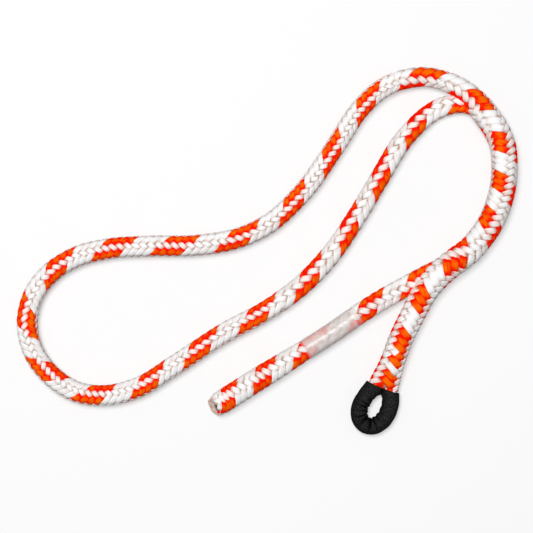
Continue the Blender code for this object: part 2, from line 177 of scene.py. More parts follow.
# The running rope is pressed low where it slips in and out under the body's edge
SLIP_LOWER = 0.22
SLIP_IN_DROP = 2.8
SLIP_IN_START = 40.0
SLIP_IN_LENGTH = 25.0
SLIP_OUT_DROP = 2.6
SLIP_OUT_END = 75.0
SLIP_OUT_LENGTH = 35.0

# The plain rope inside the body, and how far the loop's strands go on into it
BURIED_START = 14.0
BURIED_STOP = 22.0
BURIED_SMALLER = 4.1
BURIED_MAP_RADIUS = 3.0
BURIED_RUN = 24.0

# The slanted cut of the tail
CUT_LENGTH = 18.0
CUT_FACES = math.radians(-4)
CUT_BACK = 2.0
CUT_SLANT = 2.6

# Outline of the melted end, down into its small hole: distance from the tail's end and radius
RIM = np.array([
    (-12.0, 5.6), (-5.0, 6.6), (-1.8, 7.5), (-0.6, 7.9), (0.0, 7.7), (0.3, 7.0), (0.3, 5.8), (0.1, 4.9),
    (-0.3, 4.2), (-1.0, 3.7), (-2.5, 3.5), (-6.0, 3.3), (-8.0, 2.8),
])
RIM_SIDES = 48
RIM_MAP_RADIUS = 7.0
RIM_REACH = 1.1
RIM_SLANT = 3.4
RIM_FACE = 6.5
# Further back than this it doesn't follow the slanted cut, and comes to follow it over this length
RIM_STRAIGHT = 14.0
RIM_FOLLOW = 12.0
# Lumps in the melted end: how many there are round it, how they turn with distance, how high they are
RIM_LUMPS = [(5, 1.0, 0.25), (11, 0.0, 0.15)]
# The hole is shifted off the middle to one side, and the back of the plug isn't
HOLE_RADIUS = 3.9
HOLE_SHIFT = 3.0
HOLE_SHIFT_FADE = 3.0
HOLE_SIDE = math.radians(58)
PLUG_BACK = -10.0
# Inside the hole the painted shade is as dark as if the surface lay this much deeper
HOLE_SHADE = 3.0

# The rope in the eye, and how far it reaches past the ends of its sleeve
EYE_LEAD_IN = 8.0
EYE_LEAD_OUT = 9.0
EYE_ROPE_RADIUS = 4.9
EYE_LAY_LENGTH = 40.0

# The fabric sleeve of the eye
SLEEVE_RADIUS = 6.9
SLEEVE_WALL = 0.7
SLEEVE_SIDES = 96
SLEEVE_STEP = 0.35
SLEEVE_LIFT = 0.05
# Its end edges are slanted, which fades out along the sleeve
EDGE_FADE = 7.0
FIRST_EDGE_SLANT = 1.5
LAST_EDGE_SHIFT = 0.5
LAST_EDGE_SLANT = 2.4
# It bulges on the inner side near its ends: distance from that end, length and height
FIRST_BULGE = (3.3, 3.0, 2.1)
LAST_BULGE = (3.0, 4.0, 0.6)
# It ripples all round, and more on the inner side
RIPPLE_HEIGHT = 0.16
RIPPLE_PITCH = 0.85
RIPPLE_LEAN = 1.3
RIPPLE_OUTSIDE = 0.4
RIPPLE_HOLD = 1.5
# Where each pleat lies along the eye, how deep it is and how closely it keeps to the inner side
SLEEVE_PLEATS = [
    (11.0, 1.2, 3.0), (15.5, 1.5, 1.6), (19.5, 1.7, 1.2), (23.0, 1.4, 2.2), (27.5, 1.8, 1.0),
    (31.0, 1.5, 1.8), (34.0, 1.8, 1.1), (36.6, 1.3, 2.6), (39.4, 1.8, 1.2), (42.2, 1.5, 2.0),
    (45.5, 1.6, 1.4), (50.5, 1.2, 2.4), (57.0, 0.7, 3.0),
]
PLEAT_LEAN = 1.4
PLEAT_WIDTHS = (0.6, 0.9)
PLEAT_SHARPNESS = 1.5
PLEAT_LIMIT = 1.3
# The pleats are this share shallower along the very inside of the bend
INSIDE_SHALLOWER = 0.5
INSIDE_HOLD = 8
# Painted shade: a pleat this deep is painted wholly dark, and the underside nearly so
PLEAT_SHADE = 0.75
SLEEVE_UNDER_LEVEL = 0.05
SLEEVE_UNDER_FADE = 1.3

# The shrink sleeve on the tail, milky between its two clear ends
FILM_START = 90.4
FILM_END = 141.6
FILM_MILKY = (95.2, 139.6)
FILM_RADIUS = 8.45
FILM_WALL = 0.25
FILM_SIDES = 64
FILM_RINGS = 90
FLARE_LENGTH = 3.0
FLARE_HEIGHT = 0.35
FILM_RIPPLE_HEIGHT = 0.12
FILM_RIPPLE_PITCH = 0.9
FILM_RIPPLE_SIDES = 3

# Texture of a strand: its filaments run along it, and each of its yarns is slowly uneven
FILAMENT_STRETCH = (0.16, 3.4, 1.0)
FILAMENT_CONTRAST = 0.9
YARN_STRETCH = 0.11
# How fast the painted orange glow under a pale strand fades towards its crown
BLUSH_FADE = 0.7

# Camera, at the photograph's straight view from above; a pixel shows this much at the rope's middle
PICTURE = 533
PIXEL = 0.8
VIEW_CENTRE = (-0.8, -12.4)
CAMERA_HEIGHT = 1500.0
SENSOR = 36.0

# Stage, in metres and watts; the ground and the world are seen paler than they light the rope
LAMP_PLACE = (-0.35, 0.45, 2.4)
LAMP_SIZE = 1.0
LAMP_POWER = 56.0
WORLD_LIGHT = 0.17
WORLD_SEEN = 0.98
FLOOR_SIZE = 12.0
FLOOR_LIGHT = 0.28
FLOOR_SEEN = 0.95
FLOOR_GLOW = 0.99
# The floor's glow takes over from its lit surface by these shares between these distances
GLOW_REACH = (0.4, 1.6)
GLOW_SHARE = (0.45, 1.0)


# Curves

def layout(points, heights):
    """Route points with their heights, in the part's frame and in millimetres."""
    flat = np.array(points, float)
    return np.column_stack([flat, np.broadcast_to(heights, len(flat))]) + LAYOUT_SHIFT


def smooth_curve(points):
    """A smooth curve through the points, with a fixed number of steps between them."""
    ends = np.vstack([2 * points[0] - points[1], points, 2 * points[-1] - points[-2]])
    t = (np.arange(CURVE_STEPS) / CURVE_STEPS)[:, None]
    fine = []
    for a, b, c, d in zip(ends, ends[1:], ends[2:], ends[3:]):
        before, across, after = (max(np.linalg.norm(span), SHORTEST_SPAN) for span in (b - a, c - b, d - c))
        leave = ((b - a) / before * across + (c - b) / across * before) / (before + across)
        arrive = ((c - b) / across * after + (d - c) / after * across) / (across + after)
        fine.append(
            b * (2 * t ** 3 - 3 * t ** 2 + 1) + c * (3 * t ** 2 - 2 * t ** 3)
            + leave * across * (t ** 3 - 2 * t ** 2 + t) + arrive * across * (t ** 3 - t ** 2)
        )
    return np.vstack(fine + [points[-1:]])


def unit(vectors):
    """Each vector made one long."""
    return vectors / np.linalg.norm(vectors, axis=-1, keepdims=True)


class Line:
    """A curve that can be asked for its place and its own directions at any distance."""

    def __init__(self, points):
        steps = np.linalg.norm(np.diff(points, axis=0), axis=1)
        reach = np.concatenate([[0.0], np.cumsum(steps)])
        self.length = reach[-1]
        self.distance = np.arange(0.0, self.length, FINE_STEP)
        self.points = np.column_stack([np.interp(self.distance, reach, points[:, k]) for k in range(3)])
        self.way = unit(np.gradient(self.points, axis=0))

    def at(self, distance):
        """Places, directions, left sides and upper sides at some distances."""
        place = np.column_stack([np.interp(distance, self.distance, self.points[:, k]) for k in range(3)])
        way = unit(np.column_stack([np.interp(distance, self.distance, self.way[:, k]) for k in range(3)]))
        past = (distance - np.clip(distance, 0.0, self.distance[-1]))[:, None]
        left = unit(np.cross([0.0, 0.0, 1.0], way))
        return place + way * past, way, left, np.cross(way, left)


def rope_line():
    """The rope from the throat of the eye, round the loop and back into the body."""
    host_heights = np.interp(np.arange(len(HOST_ROUTE)), *zip(*HOST_HEIGHTS))
    loop_heights = [LOOP_HEIGHT] * (len(LOOP_ROUTE) - len(RISE_TO_ENTRY)) + RISE_TO_ENTRY
    heights = np.concatenate([host_heights, loop_heights, [BURY_HEIGHT] * len(BURY_ROUTE)])
    return Line(smooth_curve(layout(HOST_ROUTE + LOOP_ROUTE + BURY_ROUTE, heights)))


def tail_line():
    """The running tail from its inner end, past the exit mouth, to its free end."""
    mouth = layout([EXIT_MOUTH], MOUTH_HEIGHT)[0]
    straight = [mouth + SLIDE_DIRECTION * s for s in (STUB_DEPTH, -STUB_DEPTH, -STRAIGHT_TAIL)]
    return Line(smooth_curve(np.vstack([straight, layout(FREE_TAIL, FREE_TAIL_HEIGHTS)])))


def level_line(route, height):
    """A line through a route that stays level."""
    return Line(smooth_curve(layout(route, height)))


# Values along a line

def ramp_up(value):
    """A smooth step from 0 to 1."""
    share = np.clip(value, 0.0, 1.0)
    return share * share * (3 - 2 * share)


def along(table, blend=12.0):
    """A smooth function of distance through a table of (distance, value) pairs."""
    places, values = np.array(table, float).T
    grid = np.arange(places[0] - 3 * blend, places[-1] + 3 * blend, FINE_STEP)
    first = (values[1] - values[0]) / (places[1] - places[0])
    last = (values[-1] - values[-2]) / (places[-1] - places[-2])
    rough = np.interp(grid, places, values)
    rough += np.minimum(grid - places[0], 0.0) * first + np.maximum(grid - places[-1], 0.0) * last
    window = np.hanning(int(2 * blend / FINE_STEP) + 1)
    pad = len(window) // 2
    wide = np.concatenate([
        rough[0] + first * FINE_STEP * np.arange(-pad, 0), rough,
        rough[-1] + last * FINE_STEP * np.arange(1, pad + 1),
    ])
    smooth = np.convolve(wide, window / window.sum(), "valid")
    return lambda distance: np.interp(distance, grid, smooth)


def turns_along(table):
    """How often the strands have gone round, as a function of distance."""
    marked = along(table)
    return lambda distance: marked(distance) + PATCH_PHASE


def roll_along(table):
    """How far the columns of the weave are turned, in radians, as a function of distance."""
    degrees = along(table)
    return lambda distance: np.radians(degrees(distance))


def radius_along(table, later, later_table):
    """The outer radius as a function of distance; the second table counts from a later place."""
    places, radii = np.array(table + [(later + place, radius) for place, radius in later_table], float).T
    return lambda distance: np.interp(distance, places, radii)


# Meshes

def mesh_object(name, points, faces, materials, face_material=None, strand_map=None, crown_map=None):
    """A smooth-shaded mesh from points in millimetres, with optional maps of its strands."""
    mesh = bpy.data.meshes.new(name)
    mesh.vertices.add(len(points))
    mesh.vertices.foreach_set("co", (np.asarray(points) * MM).ravel())
    sizes = [len(face) for face in faces]
    corners = np.concatenate(faces)
    mesh.loops.add(len(corners))
    mesh.loops.foreach_set("vertex_index", corners)
    mesh.polygons.add(len(sizes))
    mesh.polygons.foreach_set("loop_start", np.concatenate([[0], np.cumsum(sizes)[:-1]]))
    for material in materials:
        mesh.materials.append(material)
    if face_material is not None:
        mesh.polygons.foreach_set("material_index", face_material)
    for map_name, values in (("strand", strand_map), ("crown", crown_map)):
        if values is not None:
            layer = mesh.uv_layers.new(name=map_name)
            layer.data.foreach_set("uv", values[corners].ravel())
    mesh.update(calc_edges=True)
    mesh.validate()
    mesh.shade_smooth()
    result = bpy.data.objects.new(name, mesh)
    bpy.context.scene.collection.objects.link(result)
    return result


def tube_faces(rings, sides, first=0):
    """Quads that join rings of corners."""
    ring = np.arange(rings - 1)[:, None] * sides + first
    n = np.arange(sides)
    after = (n + 1) % sides
    quads = np.stack([ring + n, ring + after, ring + sides + after, ring + sides + n], axis=-1)
    return quads.reshape(-1, 4)


def capped_faces(rings, sides, first=0):
    """The faces of a closed tube: the quads between its rings and a cap at each end."""
    corners = first + np.arange(sides)
    return list(tube_faces(rings, sides, first)) + [corners[::-1], corners + (rings - 1) * sides]


def closed_wall(outer, inner):
    """Points and faces of a thin wall whose two skins are given as rings of points."""
    count, sides = outer.shape[:2]
    points = np.vstack([outer.reshape(-1, 3), inner[::-1].reshape(-1, 3)])
    n = np.arange(sides)
    after = (n + 1) % sides
    last = (2 * count - 1) * sides
    close = np.stack([last + n, last + after, after, n], axis=-1)
    return points, np.vstack([tube_faces(2 * count, sides), close])


def both_skins(values):
    """Values for the points of the outer skin, and in reverse order of rings for the inner skin."""
    return np.concatenate([values, values[::-1]]).ravel()


def all_round(sides):
    """Even turns all round a tube."""
    return 2 * np.pi * np.arange(sides) / sides


def outward_from(turn, left, up):
    """Directions out of a line at some turns round it, from its left and upper sides."""
    return np.cos(turn)[None, :, None] * up + np.sin(turn)[None, :, None] * left


def rested(height):
    """Heights pressed softly flat just above the floor."""
    pressed = FLAT_UNDERSIDE * np.exp(np.minimum(height / FLAT_UNDERSIDE - 1.0, 0.0))
    return np.where(height < FLAT_UNDERSIDE, pressed, height)


def raised(level, share):
    """From a lowest level up to 1 by a share."""
    return level + (1 - level) * share


def tube(name, line, start, end, radius, material, sides=24, step=2.0):
    """A plain closed tube along part of a line, with the map of a strand."""
    count = int((end - start) / step) + 1
    distance = np.linspace(start, end, count)
    turn = all_round(sides)
    place, _, left, up = (v[:, None, :] for v in line.at(distance))
    ring = place + outward_from(turn, left, up) * radius(distance)[:, None, None]
    strand_map = np.column_stack([np.repeat(distance, sides), np.tile(turn * BURIED_MAP_RADIUS, count)])
    return mesh_object(name, ring.reshape(-1, 3), capped_faces(count, sides), [material], None, strand_map)


# Woven rope

class WeavePart:
    """A part of a braid along a line; where it laps another part, its end dives inside it."""

    def __init__(self, line, start, end, strands, lap_in, lap_out, radius, turns, roll):
        distance = np.linspace(start - lap_in, end + lap_out, int((end - start) / RING_STEP) + 1)
        middle = radius(distance) - WEAVE_DEPTH - STRAND_HALF_THICKNESS
        if lap_in:
            middle = middle - LAP_DIVE * ramp_up((start + lap_in - distance) / (2 * lap_in))
        if lap_out:
            middle = middle - LAP_DIVE * ramp_up((distance - end + lap_out) / (2 * lap_out))
        self.distance = distance
        self.middle = middle
        self.strands = strands
        self.place, _, self.left, self.up = line.at(distance)
        self.turns = turns(distance)
        self.roll = roll(distance)
        self.band = STRIPE_TURN - math.pi * (strands / 2 - 1) / strands

        # The steeper the strands go round, the closer they lie and the more their crossings are skewed
        slope = middle * 2 * np.pi * np.gradient(self.turns, distance)
        stretch = np.sqrt(1 + slope ** 2)
        self.spacing = 2 * np.pi * middle / stretch / strands
        self.skew = strands / 4 * (slope ** 2 - 1) / (middle * stretch)

    def strand(self, lay, n, bends):
        """One strand's rings of points, how far it has run at each ring, and its crown map."""
        turn = 2 * np.pi * (n / self.strands + lay * self.turns) + self.roll + self.band * (lay == 1)
        outward = np.cos(turn)[:, None] * self.up + np.sin(turn)[:, None] * self.left
        centre = self.place + outward * self.middle[:, None]
        for bend in bends:
            centre, outward = bend(self.distance, turn, centre, outward)
        along_strand = unit(np.gradient(centre, axis=0))
        side = unit(np.cross(along_strand, outward))
        outward = np.cross(side, along_strand)

        across = (STRAND_SPREAD[lay] * self.spacing)[:, None] * SECTION[None, :, 0]
        phase = (self.strands / 2 * (turn - self.roll - FLOAT_TURN) + math.pi)[:, None]
        wave = lay * (np.cos(phase + across * self.skew[:, None]) + LONG_FLOATS)
        rise = STRAND_HALF_THICKNESS * SECTION[None, :, 1] + WEAVE_DEPTH * np.tanh(DIVE * wave)
        rise = rise - across ** 2 / (2 * (self.middle + STRAND_FLATTER))[:, None]
        rings = centre[:, None, :] + side[:, None, :] * across[:, :, None]
        rings = rings + outward[:, None, :] * rise[:, :, None]
        rings[:, :, 2] = rested(rings[:, :, 2])
        reach = np.concatenate([[0.0], np.cumsum(np.linalg.norm(np.diff(centre, axis=0), axis=1))])
        return rings, reach, self.crown_map(lay, turn, wave, outward)

    def crown_map(self, lay, turn, wave, outward):
        """Painted shade by how near each corner lies to the crown of its float and to the top of the rope,
        and whether orange lies beneath it.
        """
        crest = raised(GAP_LEVEL, wave / (1 + lay * LONG_FLOATS))
        # Painted shade: the crown falls away from the top of the rope to its sides and underside
        upward = raised(UNDER_LEVEL, np.clip(SIDE_SHARE + UPWARD_RISE * outward[:, 2], 0.0, 1.0))
        height = crest * raised(EDGE_LEVEL, SECTION[None, :, 1]) * upward[:, None]
        beneath = self.strands * ((turn - self.roll - self.band) / (2 * np.pi) - self.turns) + 0.5
        over_orange = (beneath % self.strands < self.strands // 2) * (lay == -1)
        return np.column_stack([np.clip(height, 0, 1).ravel(), np.repeat(over_orange, len(SECTION))])


def braid(name, line, weaves, radius, turns, roll, materials, bends=(), also_orange=None):
    """Strands woven over two and under two along parts of a line.

    weaves lists the parts as (start, end, strands each way); half of the strands that go
    one way are orange. radius, turns and roll are functions of the distance: the outer
    radius, how many times the strands have gone round, and how far the columns of the
    weave are turned.
    """
    sides = len(SECTION)
    points, faces, kinds, maps, crowns = [], [], [], [], []
    base = 0
    for number, (start, end, strands) in enumerate(weaves):
        lap_in = WEAVE_LAP if number > 0 else 0.0
        lap_out = WEAVE_LAP if number < len(weaves) - 1 else 0.0
        part = WeavePart(line, start, end, strands, lap_in, lap_out, radius, turns, roll)
        count = len(part.distance)
        for lay in (1, -1):
            for n in range(strands):
                rings, reach, crown = part.strand(lay, n, bends)
                is_orange = np.full(count - 1, lay == 1 and n < strands // 2)
                if also_orange is not None:
                    is_orange |= also_orange(lay, n, part.distance[:-1])
                kind = np.where(is_orange, 0, 1)
                reach = reach + STRAND_MAP_GAP * (n if lay == 1 else n + strands)
                points.append(rings.reshape(-1, 3))
                faces += capped_faces(count, sides, base)
                kinds += [np.repeat(kind, sides), kind[[0, -1]]]
                maps.append(np.column_stack([np.repeat(reach, sides), np.tile(SECTION[:, 0], count)]))
                crowns.append(crown)
                base += count * sides
    return mesh_object(
        name, np.vstack(points), faces, materials, np.concatenate(kinds), np.vstack(maps), np.vstack(crowns),
    )


def flattened(line, share, wider, lower, drop):
    """A bend that presses a stretch of the rope flat; share(distance) says how far it is pressed."""
    def bend(distance, turn, centre, outward):
        part = share(distance)
        if not part.any():
            return centre, outward
        place, way, left, up = line.at(distance)
        base = centre - place
        forward, across, above = (np.sum(base * axis, axis=1) for axis in (way, left, up))
        wide = 1 + wider * part
        high = 1 - lower * part
        outward = unit(left * (across / wide)[:, None] + up * (above / high)[:, None])
        base = way * forward[:, None] + left * (across * wide)[:, None]
        base = base + up * (above * high - drop * part)[:, None]
        return place + base, outward

    return bend


# Node helpers

def node_material(name):
    """A new material with its node tree and its main shader."""
    material = bpy.data.materials.new(name)
    material.use_nodes = True
    return material, material.node_tree, material.node_tree.nodes["Principled BSDF"]


def feed(tree, socket, value):
    """A link into a socket, or a plain value for it."""
    if isinstance(value, bpy.types.NodeSocket):
        tree.links.new(value, socket)
    else:
        socket.default_value = value


def add_node(tree, kind, **inputs):
    """A node with some of its inputs set or linked."""
    node = tree.nodes.new(kind)
    for key, value in inputs.items():
        feed(tree, node.inputs[key.replace("_", " ")], value)
    return node


def surface_map(tree, name):
    """The coordinates of one of the maps of a mesh."""
    node = tree.nodes.new("ShaderNodeUVMap")
    node.uv_map = name
    return node.outputs["UV"]


def split(tree, vector):
    """The X, Y and Z outputs of a vector."""
    return add_node(tree, "ShaderNodeSeparateXYZ", Vector=vector).outputs


def maths(tree, operation, *values):
    """The result of some arithmetic on sockets and numbers."""
    node = tree.nodes.new("ShaderNodeMath")
    node.operation = operation
    for socket, value in zip(node.inputs, values):
        feed(tree, socket, value)
    return node.outputs["Value"]


def remapped(tree, value, from_range, to_range):
    """A value carried from one range to another, and held at its ends."""
    node = add_node(
        tree, "ShaderNodeMapRange", Value=value, From_Min=from_range[0], From_Max=from_range[1],
        To_Min=to_range[0], To_Max=to_range[1],
    )
    return node.outputs["Result"]


def noise(tree, vector, scale, detail, roughness=0.5):
    """Smooth uneven values round a half."""
    node = add_node(
        tree, "ShaderNodeTexNoise", Vector=vector, Scale=scale, Detail=detail, Roughness=roughness,
    )
    return node.outputs["Fac"]


def colour_steps(tree, value, *steps):
    """A colour that runs through (place, colour) steps in rising order."""
    node = add_node(tree, "ShaderNodeValToRGB", Fac=value)
    elements = node.color_ramp.elements
    elements[0].position = steps[0][0]
    elements[1].position = steps[-1][0]
    for place, _ in steps[1:-1]:
        elements.new(place)
    for element, (_, colour) in zip(elements, steps):
        element.color = (*colour, 1.0)
    return node.outputs["Color"]


def mixed(tree, share, first, second, blend="MIX"):
    """The second colour laid over the first by a share; each is a socket or a plain colour."""
    node = tree.nodes.new("ShaderNodeMix")
    node.data_type = "RGBA"
    node.blend_type = blend
    feed(tree, node.inputs[0], share)
    for place, colour in ((6, first), (7, second)):
        feed(tree, node.inputs[place], (*colour, 1.0) if isinstance(colour, tuple) else colour)
    return node.outputs[2]


def relief(tree, shader, height, strength, distance):
    """Fine relief on a surface."""
    bump = add_node(tree, "ShaderNodeBump", Height=height, Strength=strength, Distance=distance)
    tree.links.new(bump.outputs["Normal"], shader.inputs["Normal"])


# Materials

def strand_material(name, crown, deep, painted_gap_shade, steps, blush, gloss, sheen, sheen_tint):
    """Filaments that run along a strand, with painted light on the crown of each float and painted shade in
    the gaps.

    The three colours lie at the three steps of height in the crown map: painted shade in the gaps,
    painted half-shade, and the strand in full light on the crown. Where a pale strand lies over the
    orange ones, their colour shines through as a blush, which is a painted orange glow.
    """
    material, tree, shader = node_material(name)
    where = surface_map(tree, "strand")
    stretched = add_node(tree, "ShaderNodeVectorMath", Vector=where)
    stretched.operation = "MULTIPLY"
    stretched.inputs[1].default_value = FILAMENT_STRETCH
    filaments = noise(tree, stretched.outputs["Vector"], scale=1.0, detail=4.0, roughness=0.6)
    fine = maths(tree, "MULTIPLY_ADD", filaments, FILAMENT_CONTRAST, -FILAMENT_CONTRAST / 2)

    # The two yarns of a strand lie on either side of the middle of its map
    strand = split(tree, where)
    yarn = maths(tree, "SIGN", strand["Y"])
    reach = maths(tree, "MULTIPLY", strand["X"], YARN_STRETCH)
    own = add_node(tree, "ShaderNodeCombineXYZ", X=reach, Y=yarn)
    slow = maths(tree, "SUBTRACT", noise(tree, own.outputs["Vector"], scale=1.7, detail=1.0), 0.5)

    crowns = split(tree, surface_map(tree, "crown"))
    height = maths(tree, "ADD", crowns["X"], maths(tree, "ADD", fine, slow))
    # Painted light and shade: the crown map picks the painted gap shade, the half-shade or the crown colour
    colour = colour_steps(tree, height, (steps[0], painted_gap_shade), (steps[1], deep), (steps[2], crown))
    # Painted orange glow of the strands beneath, strongest where the crown map is low
    blushing = maths(tree, "MULTIPLY", crowns["Y"], maths(tree, "MULTIPLY_ADD", height, -BLUSH_FADE, 1.0))
    blushing.node.use_clamp = True
    tree.links.new(mixed(tree, blushing, colour, blush, "MULTIPLY"), shader.inputs["Base Color"])
    relief(tree, shader, filaments, strength=0.6, distance=0.0004)
    shader.inputs["Roughness"].default_value = 0.65
    shader.inputs["Specular IOR Level"].default_value = gloss
    shader.inputs["Sheen Weight"].default_value = sheen
    shader.inputs["Sheen Roughness"].default_value = 0.5
    shader.inputs["Sheen Tint"].default_value = (*sheen_tint, 1.0)
    return material


def orange_material():
    """Orange strands with a faint painted red glow, which keeps their shaded sides bright red."""
    material = strand_material(
        "orange strands", crown=(0.93, 0.160, 0.0), deep=(0.93, 0.008, 0.0), painted_gap_shade=(0.86, 0.001, 0.0),
        steps=(0.14, 0.60, 1.0), blush=(1.0, 1.0, 1.0), gloss=0.03,
        sheen=1.0, sheen_tint=(1.0, 0.02, 0.0),
    )
    shader = material.node_tree.nodes["Principled BSDF"]
    # Painted glow: a faint red emission that brightens the orange where it lies in shade
    shader.inputs["Emission Color"].default_value = (1.0, 0.03, 0.0, 1.0)
    shader.inputs["Emission Strength"].default_value = 0.08
    return material


def white_material():
    """White strands, with painted brownish shade in the gaps and a painted orange glow where they lie over
    the orange ones.
    """
    return strand_material(
        "white strands", crown=(0.98, 0.98, 0.98), deep=(0.82, 0.745, 0.71), painted_gap_shade=(0.50, 0.31, 0.24),
        steps=(0.06, 0.38, 0.80), blush=(1.0, 0.66, 0.58), gloss=0.25,
        sheen=0.3, sheen_tint=(0.98, 0.98, 0.98),
    )


def fabric_material():
    """Black close-woven cloth with a soft bloom of paler threads, and painted shade down in its pleats and on
    its underside.
    """
    material, tree, shader = node_material("eye fabric")
    weave = noise(tree, surface_map(tree, "strand"), scale=0.8, detail=4.0, roughness=0.7)
    threads = colour_steps(tree, weave, (0.38, (0.001, 0.001, 0.001)), (0.66, (0.042, 0.042, 0.042)))
    painted_lit_share = split(tree, surface_map(tree, "crown"))["X"]
    colour = mixed(tree, painted_lit_share, (0.0008, 0.0008, 0.0008), threads)
    tree.links.new(colour, shader.inputs["Base Color"])
    relief(tree, shader, weave, strength=0.5, distance=0.0003)
    shader.inputs["Roughness"].default_value = 0.75
    shader.inputs["Specular IOR Level"].default_value = 0.02
    return material


def film_material(name, cover, uneven):
    """Shrink film that lets the rope show through, in some patches more than in others."""
    material, tree, shader = node_material(name)
    where = surface_map(tree, "strand")
    clouds = noise(tree, where, scale=0.35, detail=3.0)
    colour = colour_steps(tree, clouds, (0.35, (0.84, 0.76, 0.72)), (0.65, (0.96, 0.93, 0.91)))
    tree.links.new(colour, shader.inputs["Base Color"])
    patches = noise(tree, where, scale=0.13, detail=0.0)
    covered = remapped(tree, patches, (0.35, 0.65), (cover - uneven, cover + uneven))
    tree.links.new(covered, shader.inputs["Alpha"])
    shader.inputs["Roughness"].default_value = 0.28
    return material


def melted_material():
    """Strand ends melted together: pale pink with redder spots, with painted shade further down inside."""
    material, tree, shader = node_material("melted strand ends")
    where = surface_map(tree, "strand")
    spots = noise(tree, where, scale=0.45, detail=3.0, roughness=0.6)
    face = colour_steps(tree, spots, (0.32, (0.66, 0.22, 0.12)), (0.52, (0.82, 0.62, 0.55)))
    # Painted shade: near black deep down in the hole
    out_of_hole = remapped(tree, split(tree, where)["X"], (-5.0, -2.0), (0.0, 1.0))
    tree.links.new(mixed(tree, out_of_hole, (0.06, 0.04, 0.03), face), shader.inputs["Base Color"])
    shader.inputs["Roughness"].default_value = 0.35
    return material


def seen_directly(tree):
    """1 for the rays that show the background: straight, mirrored or through something clear."""
    rays = tree.nodes.new("ShaderNodeLightPath").outputs
    seen = maths(tree, "MAXIMUM", rays["Is Camera Ray"], rays["Is Glossy Ray"])
    return maths(tree, "MAXIMUM", seen, rays["Is Transmission Ray"])


def floor_material():
    """Pale floor, seen near white with softened shadows and whiter still far off."""
    material, tree, shader = node_material("pale floor")
    seen = seen_directly(tree)
    tone = mixed(tree, seen, (FLOOR_LIGHT,) * 3, (FLOOR_SEEN,) * 3)
    tree.links.new(tone, shader.inputs["Base Color"])
    shader.inputs["Roughness"].default_value = 0.9
    shader.inputs["Specular IOR Level"].default_value = 0.0
    glow = add_node(tree, "ShaderNodeEmission", Color=(1.0, 1.0, 1.0, 1.0), Strength=FLOOR_GLOW)
    place = tree.nodes.new("ShaderNodeNewGeometry")
    away = add_node(tree, "ShaderNodeVectorMath", Vector=place.outputs["Position"])
    away.operation = "LENGTH"
    far = remapped(tree, away.outputs["Value"], GLOW_REACH, GLOW_SHARE)
    mix = add_node(tree, "ShaderNodeMixShader", Fac=maths(tree, "MULTIPLY", seen, far))
    tree.links.new(shader.outputs["BSDF"], mix.inputs[1])
    tree.links.new(glow.outputs["Emission"], mix.inputs[2])
    output = next(node for node in tree.nodes if node.type == "OUTPUT_MATERIAL")
    tree.links.new(mix.outputs["Shader"], output.inputs["Surface"])
    return material


# Stage

def make_floor():
    """The ground that the rope lies on."""
    bpy.ops.mesh.primitive_plane_add(size=FLOOR_SIZE, location=(0, 0, 0))
    floor = bpy.context.object
    floor.name = "floor"
    floor.data.materials.append(floor_material())


def make_world(scene):
    """Even light from all round, which is seen as white."""
    world = bpy.data.worlds.new("studio")
    scene.world = world
    world.use_nodes = True
    tree = world.node_tree
    background = tree.nodes["Background"]
    background.inputs["Color"].default_value = (1.0, 1.0, 1.0, 1.0)
    level = remapped(tree, seen_directly(tree), (0.0, 1.0), (WORLD_LIGHT, WORLD_SEEN))
    tree.links.new(level, background.inputs["Strength"])


def make_lamp(scene):
    """One soft lamp overhead."""
    data = bpy.data.lights.new("overhead", "AREA")
    data.shape = "SQUARE"
    data.size = LAMP_SIZE
    data.energy = LAMP_POWER
    lamp = bpy.data.objects.new("overhead", data)
    lamp.location = LAMP_PLACE
    lamp.rotation_euler = (Vector((0, 0, 0)) - Vector(LAMP_PLACE)).to_track_quat("-Z", "Y").to_euler()
    scene.collection.objects.link(lamp)


def make_camera(scene):
    """The photograph's view, straight down."""
    data = bpy.data.cameras.new("camera")
    data.sensor_width = SENSOR
    data.lens = SENSOR * (CAMERA_HEIGHT - ROPE_RADIUS) / (PICTURE * PIXEL)
    camera = bpy.data.objects.new("camera", data)
    camera.location = (VIEW_CENTRE[0] * MM, VIEW_CENTRE[1] * MM, CAMERA_HEIGHT * MM)
    scene.collection.objects.link(camera)
    scene.camera = camera
    scene.view_settings.view_transform = "Standard"


make_floor()
make_world(bpy.context.scene)
make_lamp(bpy.context.scene)
make_camera(bpy.context.scene)

orange = orange_material()
white = white_material()
fabric = fabric_material()
milky_film = film_material("shrink film", cover=0.39, uneven=0.07)
clear_film = film_material("clear film edge", cover=0.14, uneven=0.0)
melted = melted_material()

rope = rope_line()
tail = tail_line()
eye = level_line(EYE_ROUTE, EYE_HEIGHT)
host_length = level_line(HOST_ROUTE + LOOP_ROUTE[:1], LOOP_HEIGHT).length
loop_end = host_length + level_line(LOOP_ROUTE, LOOP_HEIGHT).length

rope_radius = radius_along(ROPE_RADII, loop_end, ENTRY_RADII)
rope_turns = turns_along(ROPE_TURNS)
rope_roll = roll_along(ROPE_ROLL)
tail_radius = radius_along(TAIL_RADII, tail.length, CUT_RADII)
tail_turns = turns_along(TAIL_TURNS)
tail_roll = roll_along(TAIL_ROLL)


# Body

def throat_share(distance):
    """How far the body is spread towards the eye."""
    return ramp_up((THROAT_END - distance) / (THROAT_END - THROAT_CUT))


def tucked(distance, turn, centre, outward):
    """The strands of the throat dive under the edge of the fabric sleeve, deepest between the legs."""
    part = ramp_up((TUCK_START - distance) / TUCK_LENGTH)
    if not part.any():
        return centre, outward
    place, _, left, _ = rope.at(distance)
    across = np.sum((centre - place) * left, axis=1)
    depth = part * (TUCK_DEPTH + CLEFT_DEPTH * np.exp(-(across / CLEFT_WIDTH) ** 2))
    depth = depth * np.clip((centre[:, 2] - TUCK_FLOOR) / TUCK_FADE, 0.0, 1.0)
    return centre - np.column_stack([0 * depth, 0 * depth, depth]), outward


